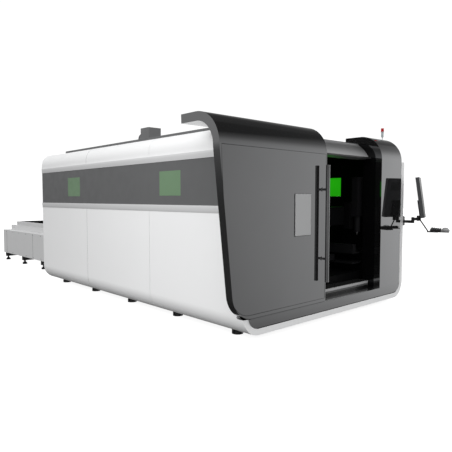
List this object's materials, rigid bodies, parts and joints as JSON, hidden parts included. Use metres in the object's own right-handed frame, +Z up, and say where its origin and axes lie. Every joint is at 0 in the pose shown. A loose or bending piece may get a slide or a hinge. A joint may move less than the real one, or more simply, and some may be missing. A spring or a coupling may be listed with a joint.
{
  "type": "fiber laser cutting machine",
  "caption": "Enclosed sheet laser cutter: sliding front door, inner gantry with cutting head, rear exchange table with sliding pallets, and a swing-arm operator station.",
  "frame": {"origin": "on the floor, under the middle of the whole machine's bounding box", "axes": "+Z up, +Y from the sliding front door towards the exchange table, +X to the right seen from the front"},
  "size_m": [4.133, 9.7328, 2.657],
  "materials": {
    "white_shell": "smooth gloss powder coat",
    "trim_grey": "satin light grey moulding",
    "band_dark": "satin charcoal coat",
    "window_green": "green laser-safe viewing pane",
    "door_grey": "high gloss dark grey coat",
    "black_paint": "black coat",
    "bright_steel": "ground steel",
    "handle_black": "gloss black tube",
    "door_pane": "light grey pane",
    "lamp_grey": "grey housing",
    "lamp_red": "red translucent lens",
    "bed_paint": "dark grey machine paint",
    "head_black": "black machine cover",
    "table_white": "light grey-white coat",
    "pallet_steel": "bare slat steel",
    "monitor_grey": "dark grey case",
    "screen_black": "dark display glass",
    "key_black": "black keys",
    "mouse_grey": "grey shell"
  },
  "bodies": {
    "cabin": {"arm_bracket": "black_paint", "bed_beams": "bed_paint", "bed_cross_beams": "bed_paint", "cabin_feet": "black_paint", "cabin_pallet_rails": "bright_steel", "door_rail": "bright_steel", "duct_box": "band_dark", "front_lip": "white_shell", "front_skirt": "door_grey", "front_wall": "door_grey", "gantry_rails": "bright_steel", "header": "door_grey", "lamp_base": "lamp_grey", "lamp_lens": "lamp_red", "left_lower_panel_1": "white_shell", "left_lower_panel_2": "white_shell", "left_lower_panel_3": "white_shell", "left_lower_trim": "trim_grey", "left_upper_panels": "white_shell", "left_upper_trim": "trim_grey", "left_window_band": "band_dark", "left_windows": "window_green", "rear_wall": "white_shell", "right_column": "door_grey", "right_jamb": "black_paint", "right_lower_panel_1": "white_shell", "right_lower_panel_2": "white_shell", "right_lower_panel_3": "white_shell", "right_lower_trim": "trim_grey", "right_upper_panels": "white_shell", "right_upper_trim": "trim_grey", "right_window_band": "band_dark", "right_windows": "window_green", "roof_cover": "band_dark", "roof_panel": "white_shell", "sill_track": "bright_steel", "table_beams": "black_paint", "table_feet": "black_paint", "table_pallet_rails": "table_white", "table_panels": "table_white"},
    "door": {"door_shell": "door_grey", "door_glass": "door_pane", "door_glides": "black_paint", "door_handle": "handle_black"},
    "gantry": {"gantry_beam": "bed_paint", "gantry_legs": "bed_paint"},
    "carriage": {"carriage": "bed_paint"},
    "head": {"lifting_slide": "head_black", "cutting_head": "head_black", "nozzle": "bright_steel"},
    "upper_pallet": {"upper_pallet": "pallet_steel"},
    "lower_pallet": {"lower_pallet": "pallet_steel"},
    "lower_arm": {"lower_arm": "black_paint"},
    "upper_arm": {"upper_arm": "black_paint"},
    "console": {"monitor_yoke": "black_paint", "keyboard_tray": "black_paint", "keyboard": "key_black", "mouse": "mouse_grey"},
    "monitor": {"monitor_housing": "monitor_grey", "monitor_glass": "screen_black"}
  },
  "joints": [
    {"name": "door_slide", "type": "slide", "parent": "cabin", "child": "door", "axis": [1, 0, 0], "range_m": [0, 1.27]},
    {"name": "gantry_slide", "type": "slide", "parent": "cabin", "child": "gantry", "axis": [0, 1, 0], "range_m": [0, 3.9]},
    {"name": "carriage_slide", "type": "slide", "parent": "gantry", "child": "carriage", "axis": [1, 0, 0], "range_m": [-2.02, 0]},
    {"name": "head_slide", "type": "slide", "parent": "carriage", "child": "head", "axis": [0, 0, 1], "range_m": [-0.04, 0.16]},
    {"name": "upper_pallet_slide", "type": "slide", "parent": "cabin", "child": "upper_pallet", "axis": [0, -1, 0], "range_m": [0, 4.56]},
    {"name": "lower_pallet_slide", "type": "slide", "parent": "cabin", "child": "lower_pallet", "axis": [0, 1, 0], "range_m": [0, 4.56]},
    {"name": "shoulder_swing", "type": "hinge", "parent": "cabin", "child": "lower_arm", "pos_m": [1.64018, -4.18561, 1.17], "axis": [0, 0, 1], "range_deg": [-5, 70]},
    {"name": "elbow_swing", "type": "hinge", "parent": "lower_arm", "child": "upper_arm", "pos_m": [1.64018, -4.33861, 1.19], "axis": [0, 0, 1], "range_deg": [-20, 25]},
    {"name": "station_swivel", "type": "hinge", "parent": "upper_arm", "child": "console", "pos_m": [1.69418, -4.39461, 1.23], "axis": [0, 0, 1], "range_deg": [-20, 15]},
    {"name": "monitor_tilt", "type": "hinge", "parent": "console", "child": "monitor", "pos_m": [1.71067, -4.43541, 1.228], "axis": [0.9272, 0.3746, 0], "range_deg": [0, 10]}
  ],
  "couplings": [
    {"joint": "lower_pallet_slide", "follows": "upper_pallet_slide", "ratio": 1}
  ]
}
